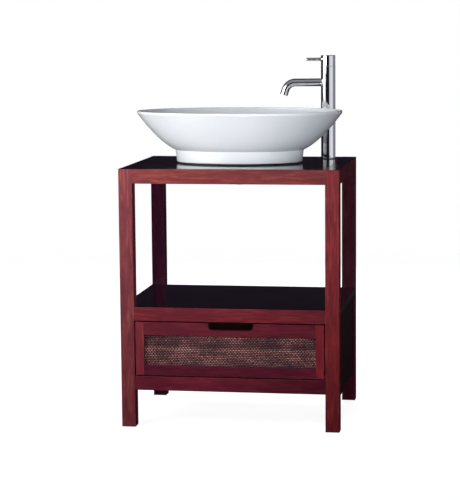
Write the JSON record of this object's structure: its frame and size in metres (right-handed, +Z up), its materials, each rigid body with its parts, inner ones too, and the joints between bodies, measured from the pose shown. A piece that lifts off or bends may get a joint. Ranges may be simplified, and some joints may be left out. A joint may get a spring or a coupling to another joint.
{
  "type": "vessel sink on vanity",
  "caption": "Oval vessel basin and tall single-lever mixer on an open wooden vanity with a shelf and a drawer with a woven front.",
  "frame": {"origin": "on the floor, under the middle of the vanity's footprint", "axes": "+Z up, -Y the front with the drawer, +X to the right seen from the front"},
  "size_m": [0.6, 0.46, 1.004],
  "materials": {
    "stained_wood": "satin red-brown stain",
    "dark_gloss_wood": "high gloss dark stain",
    "plain_wood": "unfinished",
    "woven_cane": "woven rattan, stained",
    "glazed_ceramic": "white glaze",
    "chrome": "polished",
    "brass": "machined",
    "steel": "brushed",
    "cartridge_plastic": "moulded",
    "rubber": "matt"
  },
  "bodies": {
    "vanity": {"leg_front_left": "stained_wood", "leg_front_right": "stained_wood", "leg_rear_left": "stained_wood", "leg_rear_right": "stained_wood", "top_rail_front": "stained_wood", "top_rail_rear": "stained_wood", "top_rail_left": "stained_wood", "top_rail_right": "stained_wood", "top_panel": "dark_gloss_wood", "support_battens": "plain_wood", "corner_blocks": "plain_wood", "frame_screws": "steel", "frame_dowels": "plain_wood", "shelf_rail_front": "stained_wood", "shelf_rail_rear": "stained_wood", "shelf_panel": "dark_gloss_wood", "side_panel_left": "stained_wood", "side_panel_right": "stained_wood", "back_panel": "plain_wood", "lower_rail_front": "stained_wood", "lower_rail_rear": "stained_wood", "runner_left": "plain_wood", "runner_right": "plain_wood", "basin": "glazed_ceramic", "basin_gasket": "rubber", "drain_gasket": "rubber", "drain_body": "chrome", "drain_guide": "brass", "drain_washer": "rubber", "drain_nut": "brass", "mixer_ring": "rubber", "mixer_body": "chrome", "mixer_spout": "chrome", "aerator": "steel", "cartridge": "cartridge_plastic", "cartridge_nut": "brass", "mixer_shank": "brass", "shank_washer": "rubber", "shank_plate": "steel", "shank_nut": "brass"},
    "drawer": {"drawer_stile_left": "stained_wood", "drawer_stile_right": "stained_wood", "drawer_rail_top": "stained_wood", "drawer_rail_bottom": "stained_wood", "drawer_side_left": "plain_wood", "drawer_side_right": "plain_wood", "drawer_back": "plain_wood", "drawer_bottom": "plain_wood", "drawer_dowels": "plain_wood", "woven_panel": "woven_cane", "panel_backer": "dark_gloss_wood"},
    "plug": {"drain_plug": "chrome", "plug_seal": "rubber"},
    "rotor": {"rotor": "steel", "pivot_pin": "steel"},
    "handle": {"handle_cap": "chrome", "handle_stem": "brass", "lever_rod": "chrome", "grub_screw": "steel"}
  },
  "joints": [
    {"name": "drawer_slide", "type": "slide", "parent": "vanity", "child": "drawer", "axis": [0, -1, 0], "range_m": [0, 0.28]},
    {"name": "plug_slide", "type": "slide", "parent": "vanity", "child": "plug", "axis": [0, 0, 1], "range_m": [0, 0.008]},
    {"name": "mix_turn", "type": "hinge", "parent": "vanity", "child": "rotor", "pos_m": [0.2275, 0.1535, 0.9616], "axis": [0, 0, 1], "range_deg": [-45, 45]},
    {"name": "lever_lift", "type": "hinge", "parent": "rotor", "child": "handle", "pos_m": [0.2275, 0.1535, 0.9616], "axis": [-0.1392, 0.9903, 0], "range_deg": [0, 22]}
  ]
}
